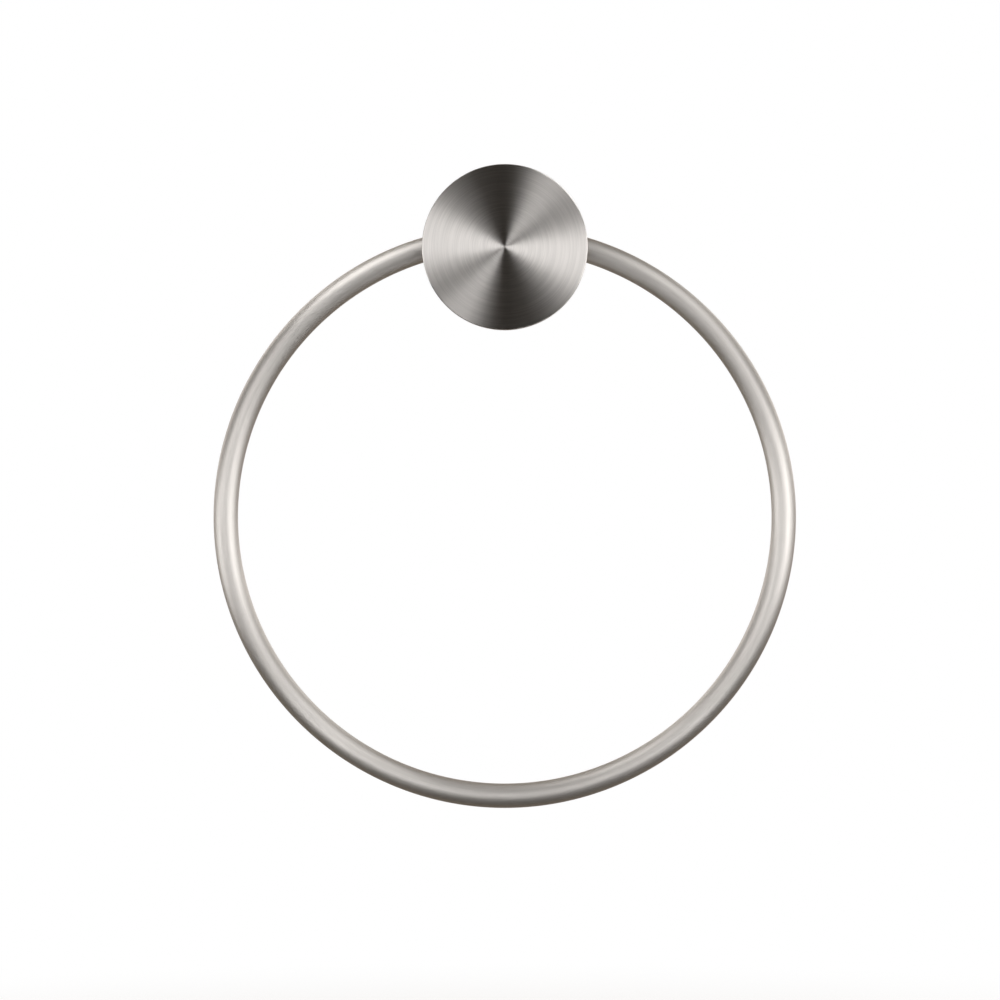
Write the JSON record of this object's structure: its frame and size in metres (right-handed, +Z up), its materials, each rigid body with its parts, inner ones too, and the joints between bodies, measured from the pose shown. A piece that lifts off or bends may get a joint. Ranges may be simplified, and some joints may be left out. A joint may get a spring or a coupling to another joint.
{
  "type": "towel ring",
  "caption": "Wall-mounted towel ring: a closed round-rod ring that swings in the split neck of a turned wall base, behind a flat round disc.",
  "frame": {"origin": "centre of the base on the wall face, on the neck's axis", "axes": "+Y into the wall, along the neck's axis (the disc faces -Y); +Z up; +X to the right as seen from the room"},
  "size_m": [0.202, 0.055, 0.2222],
  "materials": {
    "ring_rod": "satin, brushed along the rod",
    "turned_disc": "satin, brushed in circles about the disc's centre",
    "turned_post": "satin, turned",
    "bracket_steel": "machined",
    "screw_steel": "plain"
  },
  "bodies": {
    "wall_post": {"front_disc": "turned_disc", "post": "turned_post", "base": "turned_post", "disc_screw_left": "screw_steel", "disc_screw_right": "screw_steel", "wall_bracket": "bracket_steel", "grub_screw": "screw_steel"},
    "hanging_ring": {"ring": "ring_rod"}
  },
  "joints": [
    {"name": "ring_swing", "type": "hinge", "parent": "wall_post", "child": "hanging_ring", "pos_m": [0, -0.04, 0.004], "axis": [-1, 0, 0], "range_deg": [-10, 190]}
  ]
}
